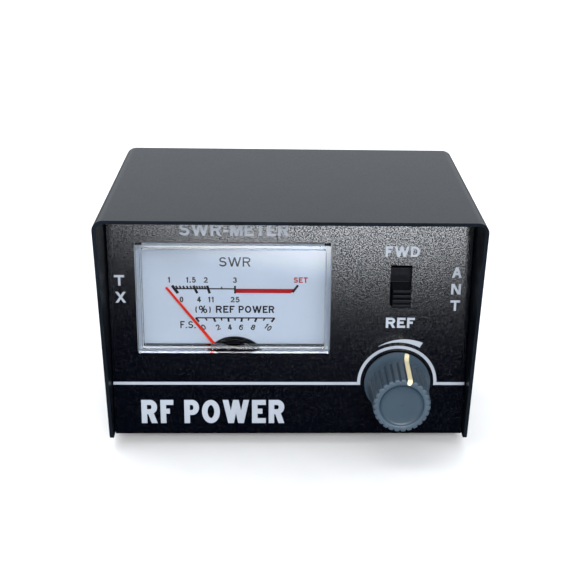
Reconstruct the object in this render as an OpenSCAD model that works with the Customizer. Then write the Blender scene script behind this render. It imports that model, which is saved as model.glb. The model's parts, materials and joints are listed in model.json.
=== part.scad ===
/* [Case] */
// Outside width of the cover
body_w = 100; // [96:1:108]
// Height of the cover, from its lower edge to its top
cover_h = 68.4; // [68:0.2:76]
// Depth of the cover's top, from its front edge to its rear edge
hood_d = 73; // [72:1:86]
// How far the cover's top stands ahead of the front panel
overhang_top = 15.4; // [14:0.2:17]
// How far the cover's sides stand ahead of the front panel at the bottom
overhang_low = 1.9; // [1:0.1:6]
// Thickness of the sheet metal
sheet = 1; // [0.8:0.1:1.2]
// Outside radius of the cover's folds
fold_r = 3; // [2:0.5:4]
// Height of the cover's lower edge above the table
foot_h = 3; // [2.5:0.5:5]

/* [Meter] */
// Width of the raised meter window
window_w = 52; // [50:0.5:53]
// Height of the raised meter window
window_h = 31; // [30:0.5:32]
// How far the window stands out of the panel
window_proud = 1.6; // [1:0.1:2]
// Height of the needle's pivot above the chassis
pivot_z = 19.1; // [18.5:0.1:19.5]
// Length of the needle from its pivot to its tip
needle_len = 30.3; // [26:0.1:31]
// Angle of the resting needle, left of upright
needle_rest = 37.4; // [30:0.2:40]

/* [Knob] */
// Height of the knob's face above the panel
knob_h = 15.2; // [13:0.1:15.3]
// Radius of the knob's skirt
skirt_r = 9.15; // [8.8:0.05:9.5]
// Radius of the fluted grip
grip_r = 7.8; // [7.4:0.1:8]
// Number of flutes round the grip
flutes = 27; // [18:1:36]
// Clockwise angle of the pointer line at rest
pointer_turn = 15; // [-150:1:150]

/* [Switch] */
// Width of the slot in the panel
slot_w = 5.8; // [5.6:0.1:6.2]
// Height of the slot in the panel
slot_h = 11.5; // [11.4:0.1:12]
// Travel of the slider
slide_travel = 5.4; // [5:0.1:5.4]

/* [Sockets] */
// Distance of each coaxial socket from the middle of the case
socket_x = 27; // [24:1:30]
// Length of each socket behind the cover's rear edge
socket_out = 15; // [14:0.5:16]
// Radius of the socket's threaded barrel
barrel_r = 7.94; // [7.94:0.01:7.94]
// Radius of the centre contact's hole
contact_r = 2; // [1.9:0.05:2]

/* [Hidden] */
$fn = 48;

black = "#17181a";
steel = "#b9bcc0";
brass = "#b8964e";

// The case: y runs backwards from the cover's front edge, z upwards from the table
y_front = -(hood_d + socket_out) / 2;
y_panel = y_front + overhang_top;
y_back = y_panel + sheet;
y_rear = y_front + hood_d;
y_wall = y_rear - 1;
y_end = y_rear + socket_out;
z_edge = foot_h;
z_floor = z_edge + 0.4;
z_top = z_edge + cover_h;
panel_hw = body_w / 2 - sheet - 0.4;
panel_top = z_top - sheet - 0.4;
slant = overhang_top - overhang_low;
corner_r = 2;
side_screw_z = z_floor + 6;
side_screw_y = [y_panel + 10, y_wall - 9];
foot_x = 38;
foot_y = [y_panel + 16, y_wall - 10];

// The meter: places on the panel and depths behind it
meter_x = -15.3;
window_z = z_floor + 41.4;
window_wall = 1.5;
window_corner = 0.4;
window_y = y_panel - window_proud;
pivot_h = z_floor + pivot_z;
cap_hw = 28;
cap_low = z_floor + 8.1;
cap_high = z_floor + 58.6;
cap_y = y_back + 4;
dial_y = y_panel + 4.4;
dial_t = 0.5;
dial_screw_x = 20;
dial_screw_z = pivot_h - 3;
case_y = y_back + 24;
case_wall = 1.5;
yoke_y = [y_panel + 6.6, y_panel + 21.4];
core_y = [y_panel + 7.3, y_panel + 17.9];
coil_y = [y_panel + 6, y_panel + 19.2];
bridge_y = y_panel + 2.3;
needle_y = y_panel + 3.5;
needle_t = 0.4;
needle_root = 0.45;
needle_tip = 0.27;
bridge_r = 9.1;
bridge_t = 0.8;
jewel_r = 1.3;
staff_r = 0.4;
yoke_r = 8.8;
gap_r = 7;
core_r = 5;
stud_x = 10;
stud_r = 1.5;
yoke_screw_x = 7.5;
stud_z = cap_low + (cap_high - cap_low) / 2;
clamp_t = 1.2;

// The switch
switch_x = 29.7;
slot_z = z_floor + 45.3;
slider_w = 5;
slider_h = 5.8;
slider_z = slot_z - slot_h / 2 + 0.15 + slider_h / 2;
frame_y = y_back + 7;
carrier_hh = 7;
frame_hh = carrier_hh + slide_travel / 2 + 0.5;
ear_z = 13.5;
frame_hw = 6.9;
frame_t = 0.8;
pin_x = 2.5;
pin_z = 5.5;

// The knob and its potentiometer
knob_x = 29.7;
knob_z = z_floor + 16.7;
face_y = y_panel - knob_h;
skirt_y = y_panel - 0.5;
shaft_r = 3;
bushing_r = 3.5;
washer_t = 0.5;
nut_h = 2;
can_r = 8;
can_y = y_back + 10;

// The sockets and the coupler between them
socket_z = z_floor + 33;
flange_t = 1.6;
flange_w = 25.4;
hole_pitch = 9.1;
cavity_d = 6.5;
cavity_r = 6.1;
insul_r = 5.2;
board_y = y_wall - 13;
board_t = 1.6;

// A flat outline in x and z, drawn out from y0 to y1
module along_y(y0, y1) {
    translate([0, y1, 0]) rotate([90, 0, 0]) linear_extrude(y1 - y0) children();
}
// A flat outline in y and z, drawn out from x0 to x1
module along_x(x0, x1) {
    translate([x0, 0, 0]) rotate([90, 0, 90]) linear_extrude(x1 - x0) children();
}
// A round rod along y
module rod_y(x, z, r, y0, y1) {
    translate([x, y0, z]) rotate([-90, 0, 0]) cylinder(r = r, h = y1 - y0);
}
// A round rod along x
module rod_x(y, z, r, x0, x1) {
    translate([x0, y, z]) rotate([0, 90, 0]) cylinder(r = r, h = x1 - x0);
}
// A hexagonal bar along y
module hex_y(x, z, r, y0, y1) {
    translate([x, y0, z]) rotate([-90, 0, 0]) cylinder(r = r, h = y1 - y0, $fn = 6);
}
// A block given by its ranges
module block(x, y, z) {
    translate([x[0], y[0], z[0]]) cube([x[1] - x[0], y[1] - y[0], z[1] - z[0]]);
}
// Turns its children about the line along y through (x, z)
module turn_at(x, z, a) {
    translate([x, 0, z]) rotate([0, a, 0]) children();
}
module both_sides() {
    children();
    mirror([1, 0, 0]) children();
}
module at_sockets() {
    for (x = [-socket_x, socket_x]) translate([x, 0, socket_z]) children();
}
module at_flange_holes() {
    for (x = [-hole_pitch, hole_pitch], z = [-hole_pitch, hole_pitch])
        translate([x, 0, z]) children();
}
// A rectangle with rounded corners
module round_rect(w, h, r) {
    square([w - 2 * r, h], center = true);
    square([w, h - 2 * r], center = true);
    for (x = [-1, 1], y = [-1, 1]) translate([x * (w / 2 - r), y * (h / 2 - r)]) circle(r);
}

// ---- cover, chassis and feet ----

module arch(hw, top, r) {
    translate([-hw, z_edge - 1]) square([2 * hw, top - r - z_edge + 1]);
    translate([-hw + r, z_edge]) square([2 * (hw - r), top - z_edge]);
    for (x = [-1, 1]) translate([x * (hw - r), top - r]) circle(r);
}
// Side outline of the cover: a sloping front edge with a rounded lower corner
module cover_side() {
    y_low = y_front + slant;
    slope = atan(slant / cover_h);
    t = corner_r * tan((90 - slope) / 2);
    polygon([
        [y_front, z_top],
        [y_low - t * sin(slope), z_edge + t * cos(slope)],
        [y_low + t, z_edge],
        [y_rear, z_edge],
        [y_rear, z_top]
    ]);
    translate([y_low + t, z_edge + corner_r]) circle(corner_r);
}
module cover() {
    color("#24262a") difference() {
        intersection() {
            along_y(y_front, y_rear) difference() {
                arch(body_w / 2, z_top, fold_r);
                arch(body_w / 2 - sheet, z_top - sheet, fold_r - sheet);
            }
            along_x(-body_w / 2, body_w / 2) cover_side();
        }
        for (y = side_screw_y) rod_x(y, side_screw_z, 1.7, -body_w, body_w);
    }
}
module chassis_profile(inset) {
    r = 1.5 - inset;
    low = z_floor + inset;
    high = panel_top + (inset > 0 ? 1 : 0);
    y0 = y_panel + inset;
    y1 = y_wall - inset;
    translate([y0 + r, low]) square([y1 - y0 - 2 * r, high - low]);
    translate([y0, low + r]) square([y1 - y0, high - low - r]);
    for (y = [y0 + r, y1 - r]) translate([y, low + r]) circle(r);
}
module chassis() {
    color(black) difference() {
        union() {
            along_x(-panel_hw, panel_hw) difference() {
                chassis_profile(0);
                chassis_profile(sheet);
            }
            both_sides() block([panel_hw - sheet, panel_hw], [y_panel + 3, y_wall - 3],
                               [z_floor, z_floor + 11]);
            for (s = [-1, 1]) rod_y(switch_x, slot_z + s * ear_z, 1.25, y_panel + 0.5, y_back + 3.4);
        }
        along_y(y_panel - 1, y_back + 1) translate([meter_x, window_z])
            square([window_w + 0.3, window_h + 0.3], center = true);
        along_y(y_panel - 1, y_back + 1) translate([switch_x, slot_z])
            square([slot_w, slot_h], center = true);
        rod_y(knob_x, knob_z, 3.55, y_panel - 1, y_back + 1);
        at_sockets() rod_y(0, 0, 6.7, y_wall - 2, y_wall + 1);
        at_sockets() at_flange_holes() rod_y(0, 0, 1.6, y_wall - 2, y_wall + 1);
        for (y = side_screw_y) rod_x(y, side_screw_z, 1.5, -body_w, body_w);
        for (x = [-foot_x, foot_x], y = foot_y)
            translate([x, y, z_floor - 1]) cylinder(r = 1.6, h = sheet + 2);
    }
}
module cover_screws() {
    color(steel) both_sides() for (y = side_screw_y) difference() {
        union() {
            rod_x(y, side_screw_z, 1.5, body_w / 2 - 5, body_w / 2);
            rod_x(y, side_screw_z, 2.8, body_w / 2, body_w / 2 + 1.2);
            rod_x(y, side_screw_z, 2.2, body_w / 2 + 1.2, body_w / 2 + 1.6);
        }
        block([body_w / 2 + 0.8, body_w], [y - 0.3, y + 0.3], [side_screw_z - 1.6, side_screw_z + 1.6]);
        block([body_w / 2 + 0.8, body_w], [y - 1.6, y + 1.6], [side_screw_z - 0.3, side_screw_z + 0.3]);
    }
}
module rubber_feet() {
    color("#1d1d1d") for (x = [-foot_x, foot_x], y = foot_y) translate([x, y, 0])
        rotate_extrude() polygon([
            [3.2, 0], [5, 0], [5.6, 0.5], [6.2, z_floor], [1.6, z_floor], [1.6, 1.9], [3.2, 1.9]
        ]);
}
module foot_screws() {
    color(steel) for (x = [-foot_x, foot_x], y = foot_y) translate([x, y, 0]) difference() {
        union() {
            translate([0, 0, 1.9]) cylinder(r = 1.5, h = z_floor + 3.6 - 1.9);
            translate([0, 0, 0.5]) cylinder(r = 2.7, h = 1.4);
        }
        translate([-1.6, -0.3, 0]) cube([3.2, 0.6, 1.1]);
    }
}
module foot_nuts() {
    color(steel) for (x = [-foot_x, foot_x], y = foot_y) translate([x, y, z_floor + sheet])
        difference() {
            cylinder(r = 3.1, h = 2, $fn = 6);
            translate([0, 0, -1]) cylinder(r = 1.5, h = 4);
        }
}

// ---- meter ----

// A plate behind the panel with the meter's outline
module meter_outline(inset) {
    translate([meter_x, stud_z])
        round_rect(2 * (cap_hw - inset), cap_high - cap_low - 2 * inset, max(0.4, 2 - inset));
}
module window_outline(inset) {
    translate([meter_x, window_z])
        round_rect(window_w - 2 * inset, window_h - 2 * inset, window_corner);
}
module meter_window() {
    color("#dfe8f2", 0.4) difference() {
        union() {
            along_y(window_y, y_back + 0.5) window_outline(0);
            along_y(y_back, cap_y) meter_outline(0);
        }
        along_y(window_y - 1, window_y + 0.4) window_outline(1.3);
        along_y(window_y + window_wall, cap_y + 1) window_outline(window_wall);
        along_y(y_back + 1, cap_y + 1) meter_outline(window_wall);
    }
}
module meter_dial() {
    color("#c6d3ea") difference() {
        along_y(dial_y, dial_y + dial_t) meter_outline(window_wall + 0.2);
        rod_y(meter_x, pivot_h, bridge_r + 0.3, dial_y - 1, dial_y + 1);
        for (s = [-dial_screw_x, dial_screw_x]) rod_y(meter_x + s, dial_screw_z, 1.1, dial_y - 1, dial_y + 1);
    }
}
module dial_screws() {
    color(brass) for (s = [-dial_screw_x, dial_screw_x]) {
        rod_y(meter_x + s, dial_screw_z, 1.9, dial_y - 0.8, dial_y);
        rod_y(meter_x + s, dial_screw_z, 1, dial_y, dial_y + 4);
    }
}
module meter_case() {
    color("#202124") difference() {
        union() {
            difference() {
                along_y(cap_y, case_y) meter_outline(0.5);
                along_y(cap_y - 1, case_y - case_wall) meter_outline(0.5 + case_wall);
            }
            for (s = [-dial_screw_x, dial_screw_x])
                rod_y(meter_x + s, dial_screw_z, 2.2, dial_y + dial_t, case_y - case_wall + 0.5);
            for (s = [-yoke_screw_x, yoke_screw_x])
                rod_y(meter_x + s, pivot_h, 1.8, yoke_y[1] + 1, case_y - case_wall + 0.5);
        }
        for (s = [-dial_screw_x, dial_screw_x]) rod_y(meter_x + s, dial_screw_z, 1, dial_y, dial_y + 6);
        for (s = [-yoke_screw_x, yoke_screw_x]) rod_y(meter_x + s, pivot_h, 1, y_panel, case_y + 1);
        for (s = [-stud_x, stud_x]) rod_y(meter_x + s, stud_z, stud_r, y_panel, case_y + 1);
    }
}
module meter_clamp() {
    hw = cap_hw + 0.4;
    color(steel) difference() {
        translate([meter_x, 0, stud_z]) union() {
            block([-hw - clamp_t, hw + clamp_t], [case_y, case_y + clamp_t], [-6, 6]);
            for (x = [-hw - clamp_t, hw]) block([x, x + clamp_t], [y_back, case_y + 0.1], [-6, 6]);
        }
        for (s = [-stud_x, stud_x]) rod_y(meter_x + s, stud_z, stud_r, case_y - 1, case_y + 3);
    }
}
module meter_studs() {
    color(brass) for (s = [-stud_x, stud_x]) {
        rod_y(meter_x + s, stud_z, stud_r, case_y - case_wall, case_y + 9);
        rod_y(meter_x + s, stud_z, 3, case_y - case_wall - 1, case_y - case_wall);
    }
}
module meter_nuts() {
    lug_y = case_y + clamp_t + 2;
    color(brass) for (s = [-stud_x, stud_x], y = [case_y + clamp_t, lug_y + 0.6]) difference() {
        hex_y(meter_x + s, stud_z, 3.1, y, y + 2);
        rod_y(meter_x + s, stud_z, stud_r, y - 1, y + 3);
    }
}
module meter_lugs() {
    y = case_y + clamp_t + 2;
    color("#d5d7da") for (s = [-stud_x, stud_x]) difference() {
        union() {
            rod_y(meter_x + s, stud_z, 3, y, y + 0.6);
            block([meter_x + s - 1.2, meter_x + s + 1.2], [y, y + 0.6], [stud_z, stud_z + 9]);
        }
        rod_y(meter_x + s, stud_z, stud_r, y - 1, y + 2);
    }
}
module movement_screws() {
    color(steel) for (s = [-yoke_screw_x, yoke_screw_x]) {
        rod_y(meter_x + s, pivot_h, 1, yoke_y[1] + 0.1, case_y);
        rod_y(meter_x + s, pivot_h, 1.9, case_y, case_y + 1.1);
    }
}
module yoke_ring() {
    color("#8e9298") difference() {
        rod_y(meter_x, pivot_h, yoke_r, yoke_y[0], yoke_y[1]);
        rod_y(meter_x, pivot_h, gap_r, yoke_y[0] - 1, yoke_y[1] + 1);
    }
}
module core_magnet() {
    color("#6d7074") rod_y(meter_x, pivot_h, core_r, core_y[0], core_y[1]);
}
module core_holders() {
    color(brass) difference() {
        block([meter_x - 1.2, meter_x + 1.2], [core_y[0] + 2, core_y[1] - 2],
              [pivot_h - gap_r + 0.12, pivot_h + gap_r - 0.12]);
        rod_y(meter_x, pivot_h, core_r, y_panel, case_y);
    }
}
module front_bridge() {
    color("#131315") difference() {
        union() {
            rod_y(meter_x, pivot_h, bridge_r, bridge_y, bridge_y + bridge_t);
            for (s = [-8, 8]) rod_y(meter_x + s, pivot_h, 0.8, bridge_y + 0.4, yoke_y[0]);
        }
        rod_y(meter_x, pivot_h, jewel_r, bridge_y - 1, bridge_y + 2);
    }
}
module rear_bridge() {
    color(brass) difference() {
        rod_y(meter_x, pivot_h, yoke_r, yoke_y[1], yoke_y[1] + 1);
        rod_y(meter_x, pivot_h, jewel_r, yoke_y[1] - 1, yoke_y[1] + 2);
        for (s = [-yoke_screw_x, yoke_screw_x]) rod_y(meter_x + s, pivot_h, 1, yoke_y[1] - 1, yoke_y[1] + 2);
    }
}
module front_jewel() {
    color(brass) difference() {
        rod_y(meter_x, pivot_h, jewel_r, bridge_y - 0.1, bridge_y + 0.8);
        rod_y(meter_x, pivot_h, 0.46, bridge_y + 0.2, bridge_y + 2);
    }
}
module rear_jewel() {
    color(brass) difference() {
        rod_y(meter_x, pivot_h, jewel_r, yoke_y[1], yoke_y[1] + 2);
        rod_y(meter_x, pivot_h, 0.46, yoke_y[1] - 1, yoke_y[1] + 1.2);
    }
}
module needle() {
    color("#e8301c") turn_at(meter_x, pivot_h, -needle_rest) difference() {
        union() {
            along_y(needle_y, needle_y + needle_t) polygon([
                [-needle_root, 0], [-needle_tip, needle_len], [needle_tip, needle_len], [needle_root, 0]
            ]);
            along_y(needle_y, needle_y + needle_t) translate([-0.6, -6]) square([1.2, 6]);
            rod_y(0, -5.2, 1.3, needle_y - 0.2, needle_y + 0.8);
            rod_y(0, 0, 1.5, needle_y - 0.2, needle_y + 0.6);
        }
        rod_y(0, 0, staff_r, needle_y - 1, needle_y + 2);
    }
}
// The coil's frame: outside reach and inside reach along x, with rounded bends left square
module coil_loop(inner, outer, half_t) {
    difference() {
        block([-outer, outer], [coil_y[0] + 6.4 - outer, coil_y[1] - 6.4 + outer], [-half_t, half_t]);
        block([-inner, inner], [coil_y[0] + 6.4 - inner, coil_y[1] - 6.4 + inner],
              [-half_t - 1, half_t + 1]);
    }
}
module coil_former() {
    color("#b4b7bb") turn_at(meter_x, pivot_h, -needle_rest) coil_loop(5.4, 5.7, 1.6);
}
module moving_coil() {
    color("#b4622c") turn_at(meter_x, pivot_h, -needle_rest) coil_loop(5.7, 6.4, 1.3);
}
module coil_staffs() {
    color(steel) {
        rod_y(meter_x, pivot_h, staff_r, bridge_y + 0.3, coil_y[0]);
        rod_y(meter_x, pivot_h, staff_r, coil_y[1], yoke_y[1] + 1.1);
    }
}
// A flat spiral of thin strip with an arm at its outer end
module spiral(y, reach) {
    turns = 3;
    steps = 72;
    strip = 0.12;
    function at(i, d) = let (a = 360 * turns * i / steps, r = 0.7 + 3.8 * i / steps + d)
        [r * cos(a), r * sin(a)];
    along_y(y, y + 0.35) {
        polygon(concat([for (i = [0:steps]) at(i, 0)], [for (i = [steps:-1:0]) at(i, strip)]));
        translate([4.5, -0.1]) square([reach - 4.5, 0.2]);
    }
}
module hairsprings() {
    color("#c79a4a") translate([meter_x, 0, pivot_h]) {
        spiral(needle_y + 1.2, 7.15);
        spiral(coil_y[1] + 0.7, gap_r - 0.05);
    }
}

// ---- slide switch ----

module switch_frame() {
    color(steel) translate([switch_x, 0, slot_z]) difference() {
        union() {
            block([-frame_hw, frame_hw], [y_back, y_back + frame_t], [-16, 16]);
            block([-frame_hw, frame_hw], [y_back + frame_t / 2, frame_y],
                  [-frame_hh - frame_t, frame_hh + frame_t]);
        }
        block([-slot_w / 2, slot_w / 2], [y_panel, y_back + 2], [-slot_h / 2, slot_h / 2]);
        block([frame_t - frame_hw, frame_hw - frame_t], [y_back + frame_t, frame_y + 1],
              [-frame_hh, frame_hh]);
        for (s = [-ear_z, ear_z]) rod_y(0, s, 1.4, y_panel, y_back + 2);
    }
}
module switch_base() {
    color("#5b3a22") translate([switch_x, 0, slot_z])
        block([-frame_hw, frame_hw], [frame_y, frame_y + 1.5], [-11, 11]);
}
module at_switch_pins() {
    for (x = [-pin_x, pin_x], z = [-pin_z, 0, pin_z]) translate([switch_x + x, 0, slot_z + z]) children();
}
module switch_terminals() {
    color("#c9ccd0") at_switch_pins() difference() {
        block([-0.8, 0.8], [frame_y + 1.5, frame_y + 6], [-0.25, 0.25]);
        translate([0, frame_y + 4.6, -1]) cylinder(r = 0.4, h = 2);
    }
}
module switch_nuts() {
    color(steel) for (s = [-ear_z, ear_z]) difference() {
        hex_y(switch_x, slot_z + s, 2.8, y_back + 0.8, y_back + 2.6);
        rod_y(switch_x, slot_z + s, 1.25, y_back, y_back + 4);
    }
}
// The slider: a stepped grip through the slot on a carrier that always closes the slot
module switch_slider() {
    color("#141416") translate([switch_x, 0, slider_z]) {
        block([-slider_w / 2, slider_w / 2], [y_panel - 2.6, y_back + 2], [-slider_h / 2, slider_h / 2]);
        for (i = [0:3]) block([-slider_w / 2, slider_w / 2], [y_panel - 4.2 + 0.2 * i, y_panel - 2.5],
                              [slider_h / 2 - 0.9 - 1.45 * i, slider_h / 2 - 1.45 * i]);
        block([-5.6, 5.6], [y_back + 1.2, y_back + 4], [-carrier_hh, carrier_hh]);
    }
}
module switch_contacts() {
    color(brass) translate([switch_x, 0, slider_z]) for (x = [-pin_x, pin_x])
        block([x - 1, x + 1], [y_back + 4, y_back + 5.6], [-4.5, 4.5]);
}

// ---- potentiometer and knob ----

module pot_bushing() {
    color(brass) difference() {
        union() {
            rod_y(knob_x, knob_z, can_r, y_back, y_back + 1);
            rod_y(knob_x, knob_z, bushing_r, y_panel - 4, y_back + 1);
        }
        rod_y(knob_x, knob_z, shaft_r + 0.06, y_panel - 5, y_back + 2);
    }
}
module pot_can() {
    color("#a8acb2") difference() {
        rod_y(knob_x, knob_z, can_r, y_back + 2.2, can_y);
        rod_y(knob_x, knob_z, can_r - 0.6, y_back + 1, can_y - 0.6);
    }
}
module pot_track() {
    color("#6b4a2c") difference() {
        rod_y(knob_x, knob_z, can_r, y_back + 1, y_back + 2.2);
        rod_y(knob_x, knob_z, 3.6, y_back, y_back + 3);
    }
}
module pot_terminals() {
    color("#c9ccd0") for (x = [-4.5, 0, 4.5]) difference() {
        block([knob_x + x - 0.9, knob_x + x + 0.9], [y_back + 1.3, y_back + 1.8],
              [knob_z + 8.2, knob_z + 11.5]);
        rod_y(knob_x + x, knob_z + 10.4, 0.5, y_back, y_back + 3);
    }
}
module pot_washer() {
    color(steel) difference() {
        rod_y(knob_x, knob_z, 5.6, y_panel - washer_t, y_panel);
        rod_y(knob_x, knob_z, bushing_r, y_panel - 1, y_panel + 1);
    }
}
module pot_nut() {
    color(steel) difference() {
        hex_y(knob_x, knob_z, 5.6, y_panel - washer_t - nut_h, y_panel - washer_t);
        rod_y(knob_x, knob_z, bushing_r, y_panel - 3, y_panel);
    }
}
module pot_shaft() {
    color("#d0d3d6") rod_y(knob_x, knob_z, shaft_r, y_panel - 11, y_back + 4.6);
}
module pot_wiper() {
    color(brass) turn_at(knob_x, knob_z, pointer_turn) difference() {
        union() {
            rod_y(0, 0, 5, y_back + 3.4, y_back + 4.2);
            along_y(y_back + 3.4, y_back + 4.2) translate([-1, 0]) square([2, 6.6]);
            rod_y(0, 5.8, 0.7, y_back + 2.5, y_back + 3.6);
        }
        rod_y(0, 0, shaft_r, y_back, y_back + 6);
    }
}
// Outline of the knob: distance from the axis and height above the skirt's base
module knob_outline(extra) {
    h = skirt_y - face_y;
    polygon([
        [0, 0], [skirt_r + extra, 0], [skirt_r + extra, 0.9], [grip_r + 0.35 + extra, 2.6],
        [grip_r + 0.2 + extra, 3.4], [grip_r - 0.05 + extra, h - 0.7],
        [grip_r - 0.7 + extra, h], [0, h]
    ]);
}
module knob_turned(extra) {
    turn_at(knob_x, knob_z, pointer_turn) translate([0, skirt_y, 0]) rotate([90, 0, 0])
        rotate_extrude() knob_outline(extra);
}
module knob() {
    color("#54616d") difference() {
        knob_turned(0);
        rod_y(knob_x, knob_z, 7, y_panel - 4.4, y_panel);
        rod_y(knob_x, knob_z, shaft_r, y_panel - 11.5, y_panel);
        rod_y(knob_x, knob_z, 5.85, face_y - 1, face_y + 0.9);
        for (i = [1:flutes - 1]) turn_at(knob_x, knob_z, pointer_turn + i * 360 / flutes)
            rod_y(0, grip_r + 0.42, 0.6, face_y - 1, skirt_y - 3.2);
    }
}
module knob_cap() {
    color("#6d7c8b") rod_y(knob_x, knob_z, 5.8, face_y + 0.35, face_y + 0.9);
}
module knob_pointer() {
    color("#eddcab") difference() {
        intersection() {
            knob_turned(0.12);
            turn_at(knob_x, knob_z, pointer_turn)
                block([-0.7, 0.7], [face_y, skirt_y - 0.95], [grip_r - 1.4, skirt_r + 1]);
        }
        knob_turned(0);
    }
}

// ---- coaxial sockets and coupler ----

module socket_shells() {
    color("#c9c4ae") at_sockets() difference() {
        union() {
            along_y(y_wall, y_wall + flange_t) round_rect(flange_w, flange_w, 1.5);
            rod_y(0, 0, barrel_r, y_wall, y_end);
            rod_y(0, 0, 6.6, y_wall - 3, y_wall);
        }
        rod_y(0, 0, insul_r, y_wall - 4, y_end);
        rod_y(0, 0, cavity_r, y_end - cavity_d, y_end + 1);
        at_flange_holes() rod_y(0, 0, 1.6, y_wall - 1, y_wall + 3);
    }
}
module socket_insulators() {
    color("#f0ece0") at_sockets() difference() {
        rod_y(0, 0, insul_r, y_wall - 4.5, y_end - cavity_d);
        rod_y(0, 0, contact_r + 0.6, y_wall - 5, y_end);
    }
}
module socket_contacts() {
    color("#c8a85a") at_sockets() difference() {
        union() {
            rod_y(0, 0, contact_r + 0.6, y_wall - 4.5, y_end - cavity_d + 0.5);
            rod_y(0, 0, 1.4, board_y - 1.5, y_wall - 4.5);
        }
        rod_y(0, 0, contact_r, y_end - cavity_d - 9.5, y_end);
    }
}
module socket_screws() {
    color(steel) at_sockets() at_flange_holes() {
        rod_y(0, 0, 1.5, y_wall - 5, y_wall + flange_t);
        difference() {
            rod_y(0, 0, 2.7, y_wall + flange_t, y_wall + flange_t + 1.4);
            block([-0.3, 0.3], [y_wall + flange_t + 0.8, y_end], [-1.6, 1.6]);
            block([-1.6, 1.6], [y_wall + flange_t + 0.8, y_end], [-0.3, 0.3]);
        }
    }
}
module socket_nuts() {
    color(steel) at_sockets() at_flange_holes() difference() {
        hex_y(0, 0, 3.1, y_wall - 3.4, y_wall - sheet);
        rod_y(0, 0, 1.5, y_wall - 4, y_wall);
    }
}
module coupler_board() {
    color("#8d6a2f") translate([0, 0, socket_z]) difference() {
        block([-37, 37], [board_y, board_y + board_t], [-12, 12]);
        for (x = [-socket_x, socket_x]) rod_y(x, 0, 1.4, board_y - 1, board_y + 3);
    }
}
module through_line() {
    y = board_y + board_t;
    color("#b87333") translate([0, 0, socket_z]) difference() {
        union() {
            block([-socket_x, socket_x], [y, y + 0.5], [-2.4, 2.4]);
            for (x = [-socket_x, socket_x]) rod_y(x, 0, 3.2, y, y + 0.5);
        }
        for (x = [-socket_x, socket_x]) rod_y(x, 0, 1.4, y - 1, y + 2);
    }
}
module pickup_lines() {
    y = board_y + board_t;
    color("#b87333") translate([0, 0, socket_z]) for (s = [-1, 1])
        block([-19, 19], [y, y + 0.3], [s * 5.2 - 0.6, s * 5.2 + 0.6]);
}
// A small part on two bent leads, in front of the board
module leaded(x, z, body_r, body_l, pitch) {
    y = board_y - body_r - 0.6;
    translate([x, 0, z]) {
        rod_x(y, 0, body_r, -body_l / 2, body_l / 2);
        rod_x(y, 0, 0.25, -pitch / 2 - 0.1, pitch / 2 + 0.1);
        for (s = [-1, 1]) rod_y(s * pitch / 2, 0, 0.3, y - 0.35, board_y);
    }
}
module coupler_diodes() {
    color("#c8552e") for (s = [-1, 1]) leaded(s * 16, socket_z + 5.2 * s, 0.95, 3.8, 8);
}
module coupler_resistors() {
    color("#c9b083") for (s = [-1, 1]) leaded(-s * 16, socket_z + 8.6 * s, 1.2, 6, 10);
}
module coupler_capacitors() {
    color("#c77b2b") for (s = [-1, 1]) translate([s * 4, 0, socket_z + 6.5 * s]) {
        rod_y(0, 0, 2.5, board_y - 3, board_y - 1.4);
        for (x = [-1.6, 1.6]) rod_y(x, 0, 0.25, board_y - 1.4, board_y);
    }
}
module trimmer() {
    color("#e8e4d4") translate([0, 0, socket_z]) difference() {
        union() {
            block([-3.5, 3.5], [board_y - 1.5, board_y], [-3, 3]);
            rod_y(0, 0, 2.6, board_y - 3, board_y - 1.5);
        }
        block([-1.8, 1.8], [board_y - 4, board_y - 2.3], [-0.35, 0.35]);
    }
}

// ---- wires ----

function unit(v) = v / norm(v);
function bend(p, t) = let (u = 1 - t)
    u * u * u * p[0] + 3 * u * u * t * p[1] + 3 * u * t * t * p[2] + t * t * t * p[3];
function heading(p, t) = let (u = 1 - t)
    unit(u * u * (p[1] - p[0]) + 2 * u * t * (p[2] - p[1]) + t * t * (p[3] - p[2]));
function ring(p, t, r, n) = let (
        c = bend(p, t),
        a = unit(cross(heading(p, t), [0.31, 0.17, 0.93])),
        b = cross(heading(p, t), a)
    ) [for (i = [0:n - 1]) c + r * (cos(360 * i / n) * a + sin(360 * i / n) * b)];
// An insulated wire along one curve through four guide points
module wire(p, r = 0.6, n = 8, steps = 14) {
    rings = [for (k = [0:steps]) ring(p, k / steps, r, n)];
    points = [for (k = [0:steps]) each rings[k]];
    sides = [for (k = [0:steps - 1], i = [0:n - 1]) let (j = (i + 1) % n)
        [k * n + i, k * n + j, (k + 1) * n + j, (k + 1) * n + i]];
    ends = [[for (i = [n - 1:-1:0]) i], [for (i = [0:n - 1]) steps * n + i]];
    polyhedron(points, concat(sides, ends), convexity = 6);
}
pin_y = frame_y + 6;
lug_top = stud_z + 9.4;
module signal_wires() {
    color("#c23b2e") {
        wire([[-12, board_y, socket_z - 9], [-4, board_y - 12, socket_z - 16],
              [switch_x - 3, y_back + 31.6, slot_z - 7], [switch_x - pin_x, pin_y, slot_z - pin_z]]);
        wire([[12, board_y, socket_z + 9], [14, board_y - 12, socket_z + 16],
              [switch_x - pin_x, pin_y + 12, slot_z + 9], [switch_x - pin_x, pin_y, slot_z + pin_z]]);
        wire([[switch_x + pin_x, pin_y, slot_z], [switch_x + 4, pin_y + 8, slot_z - 4],
              [knob_x + 12, y_back + 14, knob_z + 20], [knob_x + 4.5, y_back + 2.4, knob_z + 10.6]]);
        wire([[meter_x + stud_x, case_y + 3.5, lug_top], [meter_x + 37, case_y + 12, lug_top + 4],
              [knob_x - 6, y_back + 20, knob_z + 22], [knob_x, y_back + 2.4, knob_z + 10.6]]);
    }
}
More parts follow.
